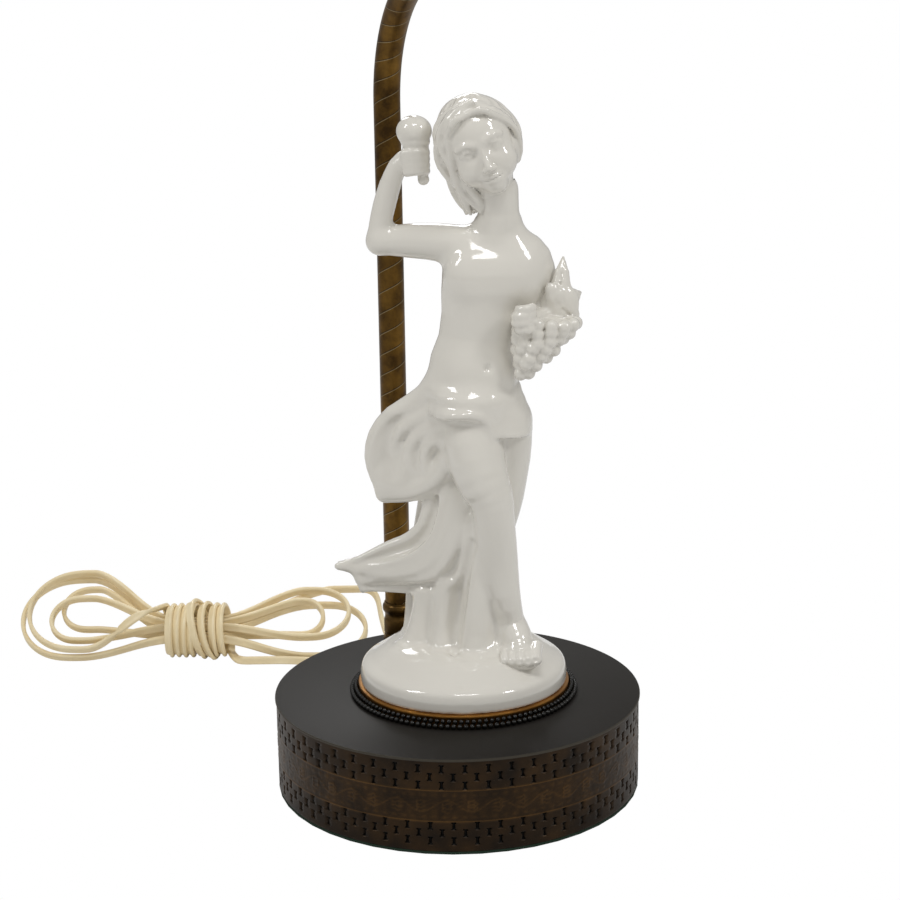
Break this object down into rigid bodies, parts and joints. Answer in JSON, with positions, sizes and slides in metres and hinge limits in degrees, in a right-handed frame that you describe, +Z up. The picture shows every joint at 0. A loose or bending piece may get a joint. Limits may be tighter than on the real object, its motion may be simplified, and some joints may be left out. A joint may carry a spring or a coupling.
{
  "type": "table lamp",
  "caption": "Figural table lamp: pierced drum base, glazed figure of a cup-bearer with fruit, and a bent arm behind it carrying a socket, bulb and harp; its cord lies in a hank.",
  "frame": {"origin": "centre of the drum's underside, on the table", "axes": "+Z up along the drum's axis; +Y from the drum's axis to the arm's foot; -Y is the front"},
  "size_m": [0.25, 0.3676, 0.6896],
  "materials": {
    "felt": "dark green wool felt",
    "cardboard": "plain board",
    "bronzed_steel": "dark bronzed satin",
    "antique_brass": "antiqued brass, aged brown",
    "cast_iron": "rough black",
    "plated_steel": "zinc plated",
    "gilt_brass": "gilt, satin",
    "dark_beads": "black with gilt rubbed high points",
    "porcelain": "white glaze",
    "dark_plastic": "moulded phenolic",
    "aluminium": "drawn shell",
    "brass": "plain",
    "opal_glass": "soft white",
    "ivory_cord": "aged ivory vinyl",
    "ivory_plastic": "aged ivory vinyl"
  },
  "bodies": {
    "lamp": {"felt_pad": "felt", "bottom_cover": "cardboard", "base_pan": "bronzed_steel", "gallery_strip": "antique_brass", "base_weight": "cast_iron", "tie_rod": "plated_steel", "tie_washer": "plated_steel", "tie_nut": "plated_steel", "seat_ring": "gilt_brass", "bead_ring": "dark_beads", "figurine": "porcelain", "arm_tube": "antique_brass", "arm_ferrule": "antique_brass", "foot_nipple": "plated_steel", "foot_nut": "plated_steel", "arm_head": "antique_brass", "holder_nipple": "plated_steel", "harp_saddle": "antique_brass", "socket_cap": "antique_brass", "socket_shell": "antique_brass", "insulating_sleeve": "cardboard", "socket_body": "dark_plastic", "screw_shell": "aluminium", "centre_contact": "brass", "harp": "antique_brass", "held_cord": "ivory_cord", "cord_bushing": "dark_plastic", "cord_hank": "ivory_cord", "cord_lead": "ivory_cord", "cord_tail": "ivory_cord", "plug_body": "ivory_plastic", "plug_blades": "brass"},
    "key": {"switch_key": "antique_brass"},
    "bulb": {"bulb_base": "aluminium", "bulb_contact": "brass", "bulb_glass": "opal_glass"},
    "sleeve_left": {"harp_sleeve_left": "antique_brass"},
    "sleeve_right": {"harp_sleeve_right": "antique_brass"},
    "finial": {"finial": "antique_brass"}
  },
  "joints": [
    {"name": "key_turn", "type": "hinge", "parent": "lamp", "child": "key", "pos_m": [0, -0.025, 0.4719], "axis": [0, -1, 0], "continuous": true},
    {"name": "bulb_turn", "type": "hinge", "parent": "lamp", "child": "bulb", "pos_m": [0, 0, 0.5019], "axis": [0, 0, 1], "continuous": true},
    {"name": "sleeve_left_lift", "type": "slide", "parent": "lamp", "child": "sleeve_left", "axis": [0, 0, 1], "range_m": [0, 0.012]},
    {"name": "sleeve_right_lift", "type": "slide", "parent": "lamp", "child": "sleeve_right", "axis": [0, 0, 1], "range_m": [0, 0.012]},
    {"name": "finial_turn", "type": "hinge", "parent": "lamp", "child": "finial", "pos_m": [0, 0, 0.6624], "axis": [0, 0, 1], "continuous": true}
  ]
}
